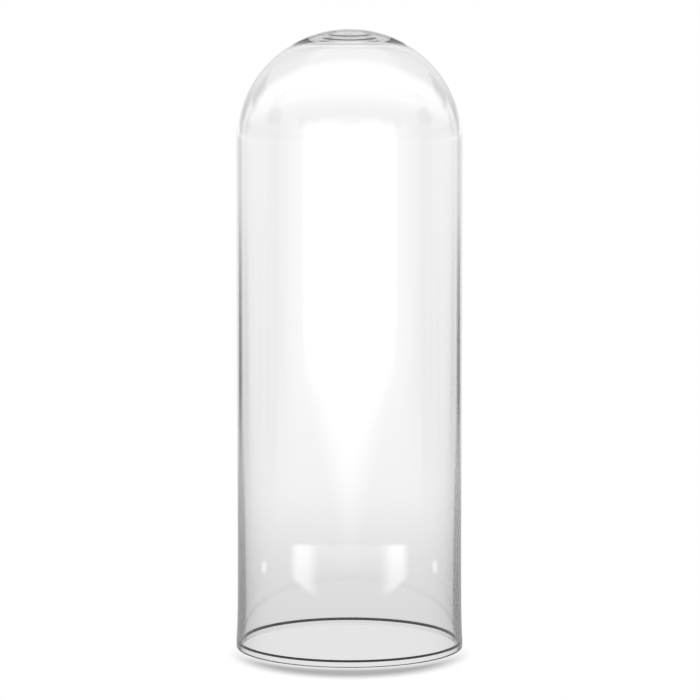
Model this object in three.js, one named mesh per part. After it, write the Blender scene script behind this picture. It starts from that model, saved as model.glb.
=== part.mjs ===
// Bell jar dome: a tall display cover, open underneath, blown as one piece of clear glass.
// Millimetres, +Z up. The origin is the centre of the circle that the rim rests on.
import * as THREE from "three";

// Driving dimensions of the outside.
const HEIGHT = 600; // from the resting plane to the top of the crown
const WALL_RADIUS = 109; // outside of the straight wall, and of the hemispherical crown
const LIP_RADIUS = 110.5; // outside of the flared lip at its widest
const LIP_HEIGHT = 6.5; // height at which the lip is widest
const FLARE_LENGTH = 22; // height over which the flare dies away by a factor of e

// Glass thickness. It runs thicker towards the foot, and thins again in the mouth, which opens a little.
const THIN_GLASS = 2.9; // in the upper wall, and in the crown but for its gather
const FOOT_GLASS = 3.9; // at the foot, but for the mouth's opening and the bead
const FOOT_TAPER_LENGTH = 130; // height over which the extra glass at the foot dies away by a factor of e
const MOUTH_OPENING = 0.1; // glass that the mouth loses where it opens
const MOUTH_LENGTH = 14; // height over which it does

// The bead that thickens the rim inward, under a sloping shoulder, and its flat land between two rounded edges.
const SHOULDER_TOP = 7.0; // height at which the shoulder meets the wall
const SHOULDER_FOOT = 4.6; // height at which it meets the bead's upright face
const BEAD_GLASS = 1.8; // extra glass of the bead
const OUTER_ROUND = 0.6; // radius of the land's outer edge
const INNER_ROUND = 1.0; // radius of its inner edge

// The gather in the crown: a round pad of thicker glass, and the drop that hangs from the middle of it.
const GATHER_GLASS = 4.0; // extra glass of the pad
const GATHER_SPREAD = THREE.MathUtils.degToRad(19); // angle from the axis over which the pad fades
const GATHER_SHARPNESS = 3; // how suddenly it fades
const DROP_GLASS = 3.0; // extra glass of the drop, on the axis
const DROP_SPREAD = THREE.MathUtils.degToRad(11.5); // angle from the axis at which the drop ends

// Faceting.
const SEGMENTS_AROUND = 64;
const SEGMENTS_PER_ROUND = 3; // along each rounded edge of the land
const LIP_STEPS = 2; // below the shoulder, along it, and above it
const WALL_STEPS = 9;
const CROWN_STEPS = 14;

const SPRING_HEIGHT = HEIGHT - WALL_RADIUS; // where the straight wall meets the crown
const LIP_TOP = 2 * SHOULDER_TOP; // where the closer steps of the lip end

// Extra radius of the lip at a height, on both faces of the wall.
function flare(z) {
  return (LIP_RADIUS - WALL_RADIUS) * Math.exp(-Math.max(z - LIP_HEIGHT, 0) / FLARE_LENGTH);
}

function wallGlass(z) {
  const foot = (FOOT_GLASS - THIN_GLASS) * Math.exp(-z / FOOT_TAPER_LENGTH);
  const mouth = MOUTH_OPENING * Math.exp(-((z / MOUTH_LENGTH) ** 2));
  const bead = BEAD_GLASS * THREE.MathUtils.clamp((SHOULDER_TOP - z) / (SHOULDER_TOP - SHOULDER_FOOT), 0, 1);
  return THIN_GLASS + foot - mouth + bead;
}

// Thickness of the crown at an angle from the axis, running into the wall's at a right angle to it.
function crownGlass(angle) {
  const gather = GATHER_GLASS * Math.exp(-((angle / GATHER_SPREAD) ** GATHER_SHARPNESS));
  const drop = DROP_GLASS * Math.max(1 - (angle / DROP_SPREAD) ** 2, 0);
  return wallGlass(SPRING_HEIGHT) + gather + drop;
}

const outerWall = (z) => new THREE.Vector2(WALL_RADIUS + flare(z), z);
const innerWall = (z) => new THREE.Vector2(WALL_RADIUS + flare(z) - wallGlass(z), z);

// A point of the crown at an angle from the axis, a depth of glass below its outside.
function crownPoint(angle, depth) {
  const radius = WALL_RADIUS - depth;
  return new THREE.Vector2(radius * Math.sin(angle), SPRING_HEIGHT + radius * Math.cos(angle));
}

// Evenly spaced values from one end up to the other, without the last.
function steps(from, to, count) {
  return Array.from({ length: count }, (_, i) => THREE.MathUtils.lerp(from, to, i / count));
}

// Heights from one end of the wall to the other: both ends of the shoulder, and closer together near the lip.
function wallHeights(lowest) {
  return [
    ...steps(lowest, SHOULDER_FOOT, LIP_STEPS),
    ...steps(SHOULDER_FOOT, SHOULDER_TOP, LIP_STEPS),
    ...steps(SHOULDER_TOP, LIP_TOP, LIP_STEPS),
    ...steps(0, 1, WALL_STEPS).map((share) => LIP_TOP + (SPRING_HEIGHT - LIP_TOP) * share ** 1.6),
  ];
}

// Points of one rounded edge of the land, from just after its end on the wall to its end on the land.
function roundedEdge(centreRadius, round, fromAngle, toAngle) {
  const points = [];
  for (let i = 1; i <= SEGMENTS_PER_ROUND; i++) {
    const angle = THREE.MathUtils.lerp(fromAngle, toAngle, i / SEGMENTS_PER_ROUND);
    points.push(new THREE.Vector2(centreRadius + round * Math.cos(angle), round + round * Math.sin(angle)));
  }
  return points;
}

// The profile runs from the axis down the inside, round the lip, and back up the outside to the axis.
function profile() {
  const crownAngles = steps(Math.PI / 2, 0, CROWN_STEPS);
  const inside = wallHeights(INNER_ROUND).map(innerWall);
  const outside = wallHeights(OUTER_ROUND).map(outerWall);
  const insideCrown = crownAngles.map((angle) => crownPoint(angle, crownGlass(angle)));
  const outsideCrown = crownAngles.map((angle) => crownPoint(angle, 0));
  const innerEdge = roundedEdge(inside[0].x + INNER_ROUND, INNER_ROUND, Math.PI, 1.5 * Math.PI);
  const outerEdge = roundedEdge(outside[0].x - OUTER_ROUND, OUTER_ROUND, 0, -0.5 * Math.PI);
  return [
    new THREE.Vector2(0, HEIGHT - crownGlass(0)),
    ...insideCrown.reverse(),
    ...inside.reverse(),
    ...innerEdge,
    ...outerEdge.reverse(),
    ...outside,
    ...outsideCrown,
    new THREE.Vector2(0, HEIGHT),
  ];
}

function glassDome() {
  const geometry = new THREE.LatheGeometry(profile(), SEGMENTS_AROUND);
  geometry.rotateX(Math.PI / 2); // the lathe turns about Y, and the dome stands along Z
  const material = new THREE.MeshStandardMaterial({
    color: 0xe6e9ea,
    roughness: 0.02,
    metalness: 0,
    transparent: true,
    opacity: 0.25,
    side: THREE.DoubleSide,
  });
  const mesh = new THREE.Mesh(geometry, material);
  mesh.name = "glass_dome";
  return mesh;
}

const bellJar = new THREE.Group();
bellJar.add(glassDome());

export default bellJar;
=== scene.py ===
"""Bell jar dome in clear blown glass, standing open-side down on a pale studio floor.

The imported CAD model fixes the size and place. The CAD dome is faceted, so a smooth dome of the same profile
stands for it here. Lengths are in metres, with +Z up.
"""

import math

import bpy
import numpy as np
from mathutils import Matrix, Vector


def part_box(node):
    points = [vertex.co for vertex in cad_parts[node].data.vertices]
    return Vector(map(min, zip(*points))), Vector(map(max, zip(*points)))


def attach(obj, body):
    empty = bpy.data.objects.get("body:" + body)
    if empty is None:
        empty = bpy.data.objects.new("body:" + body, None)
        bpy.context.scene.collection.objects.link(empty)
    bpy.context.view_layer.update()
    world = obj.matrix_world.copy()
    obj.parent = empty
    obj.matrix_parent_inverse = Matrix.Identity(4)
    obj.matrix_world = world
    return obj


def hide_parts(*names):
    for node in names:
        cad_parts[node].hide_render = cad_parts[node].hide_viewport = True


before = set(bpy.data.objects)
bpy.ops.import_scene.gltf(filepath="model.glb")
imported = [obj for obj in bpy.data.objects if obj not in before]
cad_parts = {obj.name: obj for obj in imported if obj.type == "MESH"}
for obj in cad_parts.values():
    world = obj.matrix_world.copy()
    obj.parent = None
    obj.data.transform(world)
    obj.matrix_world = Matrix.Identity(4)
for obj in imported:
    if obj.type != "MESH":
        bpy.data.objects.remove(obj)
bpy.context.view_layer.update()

MM = 0.001

# The outside of the dome, from the CAD node's box.
LOW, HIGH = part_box("glass_dome")
HEIGHT = HIGH.z
LIP_RADIUS = HIGH.x
LIP_FLARE = 1.5 * MM  # how far the lip stands out from the straight wall
WALL_RADIUS = LIP_RADIUS - LIP_FLARE
SPRING_HEIGHT = HEIGHT - WALL_RADIUS
LIP_HEIGHT = 6.5 * MM  # height at which the lip is widest
FLARE_LENGTH = 22 * MM  # height over which the flare dies away by a factor of e

# The glass thickness. It runs thicker towards the foot, and thins again in the mouth, which opens a little.
THIN_GLASS = 2.9 * MM  # in the upper wall, and in the crown but for its gather
FOOT_GLASS = 3.9 * MM  # at the foot, but for the mouth's opening and the bead
FOOT_TAPER_LENGTH = 130 * MM  # height over which the extra glass at the foot dies away by a factor of e
MOUTH_OPENING = 0.1 * MM  # glass that the mouth loses where it opens
MOUTH_LENGTH = 14 * MM  # height over which it does

# The bead that thickens the rim inward, with its sloping shoulder, and the rounded edges of its flat land.
SHOULDER_TOP = 7.0 * MM  # height at which the shoulder meets the wall
SHOULDER_FOOT = 4.6 * MM  # height at which it meets the bead's upright face
BEAD_GLASS = 1.8 * MM  # extra glass of the bead
LIP_TOP = 2 * SHOULDER_TOP  # where the closer rings of the lip end
OUTER_ROUND = 0.6 * MM  # radius of the land's outer edge
INNER_ROUND = 1.0 * MM  # radius of its inner edge

# The gather in the crown: a thick round pad of glass, and the drop that hangs from the middle of it.
GATHER_GLASS = 4.0 * MM  # extra glass of the pad
GATHER_SPREAD = math.radians(19)  # angle from the axis over which the pad fades
GATHER_SHARPNESS = 3  # how suddenly it fades
DROP_GLASS = 3.0 * MM  # extra glass of the drop, on the axis
DROP_SPREAD = math.radians(11.5)  # angle from the axis at which the drop ends

SEGMENTS_AROUND = 256
LIP_RINGS = 10  # below the shoulder, along it, and above it
WALL_RINGS = 60
WALL_CROWDING = 1.6  # how much closer together the wall's rings are at its foot than higher up
CROWN_RINGS = 90
ROUND_RINGS = 8  # along each rounded edge of the land


# ---------------------------------------------------------------- shape


def flare(z):
    """Extra radius of the lip at a height, on both faces of the wall."""
    return (LIP_RADIUS - WALL_RADIUS) * np.exp(-np.maximum(z - LIP_HEIGHT, 0) / FLARE_LENGTH)


def wall_glass(z):
    foot = (FOOT_GLASS - THIN_GLASS) * np.exp(-z / FOOT_TAPER_LENGTH)
    mouth = MOUTH_OPENING * np.exp(-((z / MOUTH_LENGTH) ** 2))
    bead = BEAD_GLASS * np.clip((SHOULDER_TOP - z) / (SHOULDER_TOP - SHOULDER_FOOT), 0, 1)
    return THIN_GLASS + foot - mouth + bead


def crown_glass(angle):
    """Thickness of the crown at an angle from the axis."""
    gather = GATHER_GLASS * np.exp(-((angle / GATHER_SPREAD) ** GATHER_SHARPNESS))
    drop = DROP_GLASS * np.maximum(1 - (angle / DROP_SPREAD) ** 2, 0)
    return wall_glass(SPRING_HEIGHT) + gather + drop


def outer_wall(z):
    return np.stack([WALL_RADIUS + flare(z), z], 1)


def inner_wall(z):
    return np.stack([WALL_RADIUS + flare(z) - wall_glass(z), z], 1)


def crown(angle, depth):
    """A point of the crown at an angle from the axis, a depth of glass below its outside."""
    radius = WALL_RADIUS - depth
    return np.stack([radius * np.sin(angle), SPRING_HEIGHT + radius * np.cos(angle)], 1)


def wall_heights(lowest):
    """Heights from one end of the wall to the other, closest together in the lip."""
    ends = [lowest, SHOULDER_FOOT, SHOULDER_TOP, LIP_TOP]
    lip = [np.linspace(start, end, LIP_RINGS, endpoint=False) for start, end in zip(ends, ends[1:])]
    share = np.linspace(0, 1, WALL_RINGS, endpoint=False) ** WALL_CROWDING
    return np.concatenate([*lip, LIP_TOP + (SPRING_HEIGHT - LIP_TOP) * share])


def rounded_corner(centre_radius, corner, start, stop):
    """One rounded corner of the rim, from just after its end on the wall to its end on the land."""
    angle = np.linspace(start, stop, ROUND_RINGS + 1)[1:]
    return np.stack([centre_radius + corner * np.cos(angle), corner + corner * np.sin(angle)], 1)


def profile():
    """(radius, height) of every ring: under the crown, down the inside, round the rim and up the outside."""
    angles = np.linspace(0.5 * math.pi, 0, CROWN_RINGS, endpoint=False)
    inside = np.concatenate([inner_wall(wall_heights(INNER_ROUND)), crown(angles, crown_glass(angles))])
    outside = np.concatenate([outer_wall(wall_heights(OUTER_ROUND)), crown(angles, 0)])
    inner_corner = rounded_corner(inside[0, 0] + INNER_ROUND, INNER_ROUND, math.pi, 1.5 * math.pi)
    outer_corner = rounded_corner(outside[0, 0] - OUTER_ROUND, OUTER_ROUND, 0, -0.5 * math.pi)
    return np.concatenate([inside[::-1], inner_corner, outer_corner[::-1], outside])


def on_shoulder(radius, z):
    """Whether a point of the dome's surface is on the bead's shoulder."""
    middle = WALL_RADIUS + flare(z) - 0.5 * wall_glass(z)
    return radius < middle and SHOULDER_FOOT < z < SHOULDER_TOP


def lathe(name, rings, bottom_pole, top_pole):
    """A closed body of revolution about Z from its rings, each (radius, height), and its ends on the axis."""
    turn = np.arange(SEGMENTS_AROUND) * (2 * math.pi / SEGMENTS_AROUND)
    radius, height = rings[:, 0, None], rings[:, 1, None]
    height = np.broadcast_to(height, (len(rings), SEGMENTS_AROUND))
    points = np.stack([radius * np.cos(turn), radius * np.sin(turn), height], 2).reshape(-1, 3)
    first_pole, last_pole = len(points), len(points) + 1
    points = np.concatenate([points, [[0, 0, bottom_pole], [0, 0, top_pole]]])
    faces = []
    for k in range(SEGMENTS_AROUND):
        after = (k + 1) % SEGMENTS_AROUND
        faces.append((first_pole, after, k))
        for ring in range(len(rings) - 1):
            here, there = ring * SEGMENTS_AROUND, (ring + 1) * SEGMENTS_AROUND
            faces.append((here + k, here + after, there + after, there + k))
        last = (len(rings) - 1) * SEGMENTS_AROUND
        faces.append((last + k, last + after, last_pole))
    mesh = bpy.data.meshes.new(name)
    mesh.from_pydata(points.tolist(), [], faces)
    mesh.shade_smooth()
    mesh.update()
    piece = bpy.data.objects.new(name, mesh)
    bpy.context.scene.collection.objects.link(piece)
    return piece


# ---------------------------------------------------------------- nodes


class Nodes:
    """A node tree, and short ways to add to it. A value is a number or another node's output."""

    def __init__(self, tree):
        self.tree = tree

    def add(self, kind, values=(), **settings):
        node = self.tree.nodes.new(kind)
        for name, value in settings.items():
            setattr(node, name, value)
        for socket, value in zip(node.inputs, values):
            self.set(socket, value)
        return node.outputs[0]

    def set(self, socket, value):
        if isinstance(value, bpy.types.NodeSocket):
            self.tree.links.new(value, socket)
        else:
            socket.default_value = value

    def math(self, operation, *values):
        return self.add("ShaderNodeMath", values, operation=operation)

    def product(self, first, *others):
        for other in others:
            first = self.math("MULTIPLY", first, other)
        return first

    def total(self, first, *others):
        for other in others:
            first = self.math("ADD", first, other)
        return first

    def left_of_one(self, value):
        return self.math("SUBTRACT", 1.0, value)

    def distance(self, value, centre):
        return self.math("ABSOLUTE", self.math("SUBTRACT", value, centre))

    def length(self, x, y):
        return self.math("SQRT", self.total(self.product(x, x), self.product(y, y)))

    def turn(self, x, y):
        """Angle round the Z axis from the front, in degrees, to either side: 180 is straight behind."""
        return self.math("DEGREES", self.math("ARCTAN2", self.math("ABSOLUTE", x), self.product(y, -1.0)))

    def parts(self, vector):
        """The x, y and z of a vector."""
        return self.add("ShaderNodeSeparateXYZ", (vector,)).node.outputs

    def between(self, value, start, end, low=0.0, high=1.0):
        """low where the value is at start, high where it is at end, and a smooth change in between."""
        return self.add("ShaderNodeMapRange", (value, start, end, low, high), interpolation_type="SMOOTHSTEP")

    def mix(self, share, first, second):
        return self.total(self.product(self.left_of_one(share), first), self.product(share, second))


# ---------------------------------------------------------------- materials

GLASS_INDEX = 1.5
GLASS_ABSORPTION = 4  # per metre

# Painted shade on the glass: its colour darkens where it is seen at a glance, for the dark outline that glass
# shows edge on. Layer Weight's Facing is 0 face on and 1 edge on.
FOOT_EDGE_SHADE = 0.85  # share of the light lost edge on, at the foot
CROWN_EDGE_SHADE = 0.0  # and at the top
EDGE_SHADE_SHARPNESS = 3.6  # how suddenly the tint comes on

# A band of painted shade inside the outline, darker still, which begins at a value of Facing.
BAND_STARTS = (0.68, 0.77)  # where it begins, at the foot and from BAND_RISE upwards
BAND_RISE = 0.35
BAND_FADE = (0.0, 0.07)  # the band's soft edge, past where it begins
FOOT_BAND = 0.46  # share of the light lost in the band, low down
UPPER_BAND = 0.08  # and higher up
BAND_CHANGE = (0.12, 0.22)  # heights between which one becomes the other

# The bead's shoulder is painted shade: a dark, opaque surface for the dark ring that the rim shows.
SHOULDER_SHADE_TONE = 0.04
SHOULDER_SHADE_ROUGHNESS = 0.5
SHOULDER_SHADE_SPECULAR = 0.1


def clearness_with_painted_shade(nodes):
    """The share of the light that the glass lets through, less towards its outline, where shade is painted
    into its colour.
    """
    facing = nodes.tree.nodes.new("ShaderNodeLayerWeight").outputs["Facing"]
    place = nodes.tree.nodes.new("ShaderNodeTexCoord").outputs["Object"]
    height = nodes.parts(place)[2]
    painted_edge_shade = nodes.between(height, 0.0, HEIGHT, FOOT_EDGE_SHADE, CROWN_EDGE_SHADE)
    clear = nodes.left_of_one(nodes.product(nodes.math("POWER", facing, EDGE_SHADE_SHARPNESS), painted_edge_shade))
    past_start = nodes.math("SUBTRACT", facing, nodes.between(height, 0.0, BAND_RISE, *BAND_STARTS))
    strength = nodes.between(height, *BAND_CHANGE, FOOT_BAND, UPPER_BAND)
    return nodes.math("SUBTRACT", clear, nodes.product(nodes.between(past_start, *BAND_FADE), strength))


def clear_glass():
    material = bpy.data.materials.new("clear_glass")
    material.use_nodes = True
    nodes = Nodes(material.node_tree)
    surface = material.node_tree.nodes["Principled BSDF"]
    # The shader tints refracted light by the square root of its colour, so the clearness, with its painted
    # shade at the outline, is squared.
    nodes.set(surface.inputs["Base Color"], nodes.math("POWER", clearness_with_painted_shade(nodes), 2.0))
    surface.inputs["Roughness"].default_value = 0.0
    surface.inputs["IOR"].default_value = GLASS_INDEX
    surface.inputs["Transmission Weight"].default_value = 1
    volume = material.node_tree.nodes.new("ShaderNodeVolumeAbsorption")
    volume.inputs["Color"].default_value = (0, 0, 0, 1)
    volume.inputs["Density"].default_value = GLASS_ABSORPTION
    nodes.set(material.node_tree.nodes["Material Output"].inputs["Volume"], volume.outputs["Volume"])
    return material


def shoulder_painted_shade():
    """The shoulder of the bead, matt, dark and opaque: painted shade for the dark ring round the rim."""
    material = bpy.data.materials.new("shoulder_painted_shade")
    material.use_nodes = True
    surface = material.node_tree.nodes["Principled BSDF"]
    surface.inputs["Base Color"].default_value = (SHOULDER_SHADE_TONE, SHOULDER_SHADE_TONE, SHOULDER_SHADE_TONE, 1)
    surface.inputs["Roughness"].default_value = SHOULDER_SHADE_ROUGHNESS
    surface.inputs["Specular IOR Level"].default_value = SHOULDER_SHADE_SPECULAR
    return material


# ---------------------------------------------------------------- studio

# The camera sees a white floor, plain but for a painted soft shadow, and a plain white background. The glass
# sees the tones below instead, among them painted shade and painted reflections. A pair of numbers is a soft
# edge, from where a change begins to where it is complete.

# Dark gaps, at angles from the front in degrees: beside the backdrop, and weaker ones about square on.
GAP_BLACK = 0.75
BACKDROP_EDGE = (157.0, 154.5)
GAP_OUTER_EDGE = (138.0, 146.0)
SQUARE_ON = 90.0
SIDE_GAP_INNER_EDGE = (5.0, 8.0)  # degrees to either side of square on
SIDE_GAP_OUTER_EDGE = (17.0, 13.0)
SIDE_GAP_SHARE = 0.35  # how strong the side gaps are, as a share of those beside the backdrop


def dark_gaps(nodes, turn):
    """How dark the gaps are at an angle from the front."""
    beside = nodes.product(nodes.between(turn, *BACKDROP_EDGE), nodes.between(turn, *GAP_OUTER_EDGE))
    off_square = nodes.distance(turn, SQUARE_ON)
    outer_edge = nodes.between(off_square, *SIDE_GAP_OUTER_EDGE, 0.0, SIDE_GAP_SHARE)
    aside = nodes.product(nodes.between(off_square, *SIDE_GAP_INNER_EDGE), outer_edge)
    return nodes.product(nodes.total(beside, aside), GAP_BLACK)


# The floor's tone, and what is added to it outwards, at distances from the dome's axis.
TONE_INSIDE_RIM = 0.80
TONE_OUTSIDE_RIM = 0.72
RIM_STEP = (0.108, 0.112)
NEAR_RISE = 0.20
NEAR_REACH = (0.1, 1.15)
FAR_RISE = 0.12
FAR_REACH = (20.0, 60.0)
GAP_REACH = (0.5, 2.4)  # where the dark gaps come on
GAP_FADE_REACH = (2.5, 9.0)  # where they fade
GAP_FAR_SHARE = 0.35  # what is left of them


def floor_tone(nodes, reach, turn):
    """How bright the glass sees the floor: dimmer near the dome and in the gaps."""
    tone = nodes.total(
        nodes.between(reach, *RIM_STEP, TONE_INSIDE_RIM, TONE_OUTSIDE_RIM),
        nodes.between(reach, *NEAR_REACH, 0.0, NEAR_RISE),
        nodes.between(reach, *FAR_REACH, 0.0, FAR_RISE),
    )
    fade = nodes.between(reach, *GAP_FADE_REACH, 1.0, GAP_FAR_SHARE)
    gaps = nodes.product(dark_gaps(nodes, turn), nodes.between(reach, *GAP_REACH), fade)
    return nodes.product(tone, nodes.left_of_one(gaps))


# Painted reflections: areas of the floor behind the dome, lighter or darker than its tone, which only the
# glass sees. They are laid out for the view from the front, where they show through the glass as its bright
# streaks, darker bands, patches and glints. From other sides they show elsewhere.
SIGHT_SPREAD = 0.53  # how much wider an area gets per metre behind, to look equally wide from the front

COLUMN_TONE = 0.13
COLUMN_SIDE = (0.0485, 0.0405)
COLUMN_START = (0.2, 1.7)  # behind its blunt point
COLUMN_END = (25.0, 17.0)
POINT_SLOPE = 49.0  # how far back the point's flanks run, per metre across
POINT_ROUND = 0.01

HALO_TONE = 0.065
HALO_SIDE = (0.072, 0.045)
HALO_START = (0.8, 3.2)

SIDE_BAND_TONE = -0.035
SIDE_BAND_MIDDLE = 0.089
SIDE_BAND_EDGE = (0.014, 0.007)
SIDE_BAND_START = (0.6, 1.5)

PATCH_END = (0.605, 0.570)
PATCH_SIDE = (0.062, 0.051)
PATCH_MIDDLE_TONE = 0.05
PATCH_MIDDLE_START = (0.37, 0.53)
PATCH_WING_TONE = 0.21
PATCH_WING_INNER_EDGE = (0.028, 0.045)
PATCH_WING_SLANT = 4.5  # how far back the wing's near edge runs, per metre across
PATCH_WING_START = (0.08, 0.14)  # past that slanted edge

GLINT_TONE = 0.22
GLINT_MIDDLE = 0.0925
GLINT_EDGE = (0.005, 0.002)
GLINT_START = (0.38, 0.42)
GLINT_END = (0.49, 0.45)


def painted_column_highlight(nodes, across, y):
    """Painted highlight: a bright column with a blunt point at its near end, and a fainter halo round it."""
    blunt = nodes.math("SQRT", nodes.math("MULTIPLY_ADD", across, across, POINT_ROUND**2))
    flank = nodes.math("MULTIPLY_ADD", blunt, POINT_SLOPE, -POINT_SLOPE * POINT_ROUND)
    point = nodes.math("SUBTRACT", y, flank)
    column = nodes.between(point, *COLUMN_START, 0.0, COLUMN_TONE)
    column = nodes.product(column, nodes.between(across, *COLUMN_SIDE))
    halo = nodes.product(nodes.between(y, *HALO_START, 0.0, HALO_TONE), nodes.between(across, *HALO_SIDE))
    return nodes.product(nodes.total(column, halo), nodes.between(y, *COLUMN_END))


def painted_side_band_shade(nodes, across, y):
    """Painted shade: a faint darker band at each side."""
    off_middle = nodes.distance(across, SIDE_BAND_MIDDLE)
    band = nodes.between(off_middle, *SIDE_BAND_EDGE, 0.0, SIDE_BAND_TONE)
    return nodes.product(band, nodes.between(y, *SIDE_BAND_START))


def painted_patch_reflection(nodes, across, y):
    """Painted reflection: a low bright patch, with a faint middle and a brighter wing with a slanted edge at
    each side.
    """
    slanted = nodes.math("SUBTRACT", y, nodes.product(across, PATCH_WING_SLANT))
    wing = nodes.between(across, *PATCH_WING_INNER_EDGE, 0.0, PATCH_WING_TONE)
    wing = nodes.product(wing, nodes.between(slanted, *PATCH_WING_START))
    middle = nodes.between(y, *PATCH_MIDDLE_START, 0.0, PATCH_MIDDLE_TONE)
    patch = nodes.product(nodes.total(wing, middle), nodes.between(y, *PATCH_END))
    return nodes.product(patch, nodes.between(across, *PATCH_SIDE))


def painted_glints(nodes, across, y):
    """A small painted glint at each side of the patch."""
    glint = nodes.between(nodes.distance(across, GLINT_MIDDLE), *GLINT_EDGE, 0.0, GLINT_TONE)
    return nodes.product(glint, nodes.between(y, *GLINT_START), nodes.between(y, *GLINT_END))


def painted_reflections_behind(nodes, x, y):
    """What the painted reflections behind the dome add to the floor's tone."""
    behind = nodes.math("MAXIMUM", y, 0.0)
    spread = nodes.math("MULTIPLY_ADD", behind, SIGHT_SPREAD, 1.0)
    across = nodes.math("DIVIDE", nodes.math("ABSOLUTE", x), spread)
    patch = nodes.total(painted_patch_reflection(nodes, across, y), painted_glints(nodes, across, y))
    return nodes.total(painted_column_highlight(nodes, across, y), painted_side_band_shade(nodes, across, y), patch)


# The soft shadow on the floor, which lies mostly in front of the dome. It is part of the floor's glow.
SHADOW_BLACK = 0.56
SHADOW_SQUEEZE = 1.1  # how much narrower it is across than back
SHADOW_FORWARD = 0.036
SHADOW_EDGE = (0.132, 0.100)
SHADOW_RIM = (0.109, 0.127)  # distances from the axis between which it darkens to full
SHADOW_UNDER_RIM = 0.3  # share of it at the rim


def floor_shadow(nodes, x, y, reach):
    """How dark the shadow is."""
    off_centre = nodes.length(nodes.product(x, SHADOW_SQUEEZE), nodes.total(y, SHADOW_FORWARD))
    by_rim = nodes.between(reach, *SHADOW_RIM, SHADOW_UNDER_RIM, 1.0)
    return nodes.product(nodes.between(off_centre, *SHADOW_EDGE), by_rim, SHADOW_BLACK)


def floor_light():
    """A pale floor that glows: plain but for its painted shadow to the camera, and toned to the glass, with
    painted reflections behind the dome.
    """
    material = bpy.data.materials.new("studio_floor")
    material.use_nodes = True
    tree = material.node_tree
    tree.nodes.remove(tree.nodes["Principled BSDF"])
    nodes = Nodes(tree)
    x, y, _ = nodes.parts(tree.nodes.new("ShaderNodeNewGeometry").outputs["Position"])
    reach = nodes.length(x, y)
    in_glass = nodes.total(floor_tone(nodes, reach, nodes.turn(x, y)), painted_reflections_behind(nodes, x, y))
    in_camera = nodes.left_of_one(floor_shadow(nodes, x, y, reach))
    by_camera = tree.nodes.new("ShaderNodeLightPath").outputs["Is Camera Ray"]
    glow = nodes.add("ShaderNodeEmission", ((1, 1, 1, 1), nodes.mix(by_camera, in_glass, in_camera)))
    nodes.set(tree.nodes["Material Output"].inputs["Surface"], glow)
    return material


FLOOR_Z = -0.1 * MM  # just under the dome's land, so that the two faces don't coincide
FLOOR_HALF = 400.0  # half the floor's side


def studio_floor():
    mesh = bpy.data.meshes.new("studio_floor")
    half = FLOOR_HALF
    corners = [(-half, -half, FLOOR_Z), (half, -half, FLOOR_Z), (half, half, FLOOR_Z), (-half, half, FLOOR_Z)]
    mesh.from_pydata(corners, [], [(0, 1, 2, 3)])
    floor = bpy.data.objects.new("studio_floor", mesh)
    floor.data.materials.append(floor_light())
    bpy.context.scene.collection.objects.link(floor)


# The background's brightness at heights above the horizon, in degrees: bright at the horizon, dimmer over it,
# and brightest overhead.
STUDIO = [(0, 1.1), (0.6, 1.1), (1.4, 0.88), (3, 0.85), (6, 0.7), (9, 0.85), (50, 1.0), (60, 1.5), (90, 1.5)]
STUDIO_TOP = 1.5  # the highest of them, which the colour ramp holds as 1
OVERHEAD = 90.0
BACKGROUND_GAP_TOP = (16.0, 10.0)  # heights between which the dark gaps end
BACKGROUND_GAP_SHARE = 0.35  # how strong they are here, as a share of their strength on the floor

# Dark flags that ring the studio above the horizon.
FLAGS = 8.0
FLAG_BLACK = 0.55
FLAG_SIDE = (-0.3, 0.3)  # of a wave that goes round the studio once per flag
FLAG_FOOT = (13.0, 15.0)
FLAG_TOP = (27.0, 24.0)


def dark_flags(nodes, x, y, elevation):
    """How dark the flags are in a direction."""
    wave = nodes.math("COSINE", nodes.product(nodes.math("ARCTAN2", x, y), FLAGS))
    height = nodes.product(nodes.between(elevation, *FLAG_FOOT), nodes.between(elevation, *FLAG_TOP))
    return nodes.product(nodes.between(wave, *FLAG_SIDE), height, FLAG_BLACK)


def background_tone(nodes, elevation):
    """The background's brightness at a height above the horizon."""
    ramp = nodes.tree.nodes.new("ShaderNodeValToRGB")
    nodes.set(ramp.inputs[0], nodes.math("DIVIDE", elevation, OVERHEAD))
    stops = ramp.color_ramp.elements
    while len(stops) < len(STUDIO):
        stops.new(1.0)
    for stop, (height, brightness) in zip(stops, STUDIO):
        stop.position = height / OVERHEAD
        stop.color = (brightness / STUDIO_TOP,) * 3 + (1,)
    return nodes.product(ramp.outputs[0], STUDIO_TOP)


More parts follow.
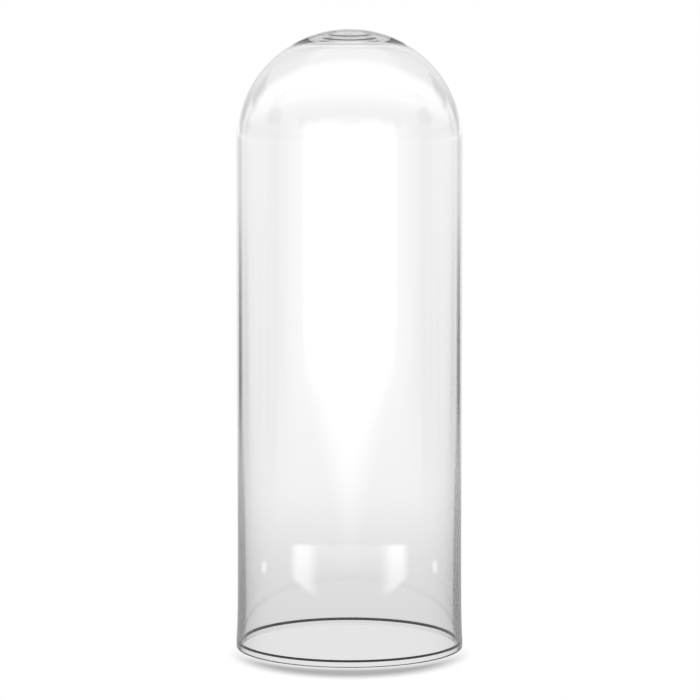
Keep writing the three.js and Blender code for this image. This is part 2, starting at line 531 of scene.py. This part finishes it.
def studio_world():
    """Light from all round: plain to the camera, and toned to the glass."""
    world = bpy.data.worlds.new("studio")
    bpy.context.scene.world = world
    world.use_nodes = True
    tree = world.node_tree
    nodes = Nodes(tree)
    x, y, z = nodes.parts(tree.nodes.new("ShaderNodeTexCoord").outputs["Generated"])
    elevation = nodes.math("DEGREES", nodes.math("ARCSINE", z))
    gap_height = nodes.between(elevation, *BACKGROUND_GAP_TOP, 0.0, BACKGROUND_GAP_SHARE)
    gaps = nodes.product(dark_gaps(nodes, nodes.turn(x, y)), gap_height)
    unflagged = nodes.left_of_one(dark_flags(nodes, x, y, elevation))
    in_glass = nodes.product(background_tone(nodes, elevation), unflagged, nodes.left_of_one(gaps))
    by_camera = tree.nodes.new("ShaderNodeLightPath").outputs["Is Camera Ray"]
    background = tree.nodes["Background"]
    nodes.set(background.inputs["Strength"], nodes.mix(by_camera, in_glass, 1.0))
    background.inputs["Color"].default_value = (1, 1, 1, 1)


CAMERA_LENS = 160  # millimetres
CAMERA_SENSOR = 36
CAMERA_PLACE = (0.0005, -3.0, 0.596)
CAMERA_DOWN = 5.817  # degrees below level
LIGHT_BOUNCES = 32  # each wall that light crosses takes two
GLOSSY_BOUNCES = 16


def camera():
    data = bpy.data.cameras.new("camera")
    data.lens = CAMERA_LENS
    data.sensor_width = CAMERA_SENSOR
    eye = bpy.data.objects.new("camera", data)
    eye.location = CAMERA_PLACE
    eye.rotation_euler = (math.radians(90 - CAMERA_DOWN), 0, 0)
    bpy.context.scene.collection.objects.link(eye)
    bpy.context.scene.camera = eye


dome = lathe("glass_dome_smooth", profile(), HEIGHT - crown_glass(0.0), HEIGHT)
dome.data.materials.append(clear_glass())
dome.data.materials.append(shoulder_painted_shade())
# Faces on the bead's shoulder take the painted shade, and the rest take the clear glass.
for face in dome.data.polygons:
    face.material_index = int(on_shoulder(face.center.xy.length, face.center.z))
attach(dome, "root")
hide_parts("glass_dome")

studio_floor()
studio_world()
camera()
scene = bpy.context.scene
scene.view_settings.view_transform = "Standard"
scene.cycles.max_bounces = LIGHT_BOUNCES
scene.cycles.transmission_bounces = LIGHT_BOUNCES
scene.cycles.glossy_bounces = GLOSSY_BOUNCES
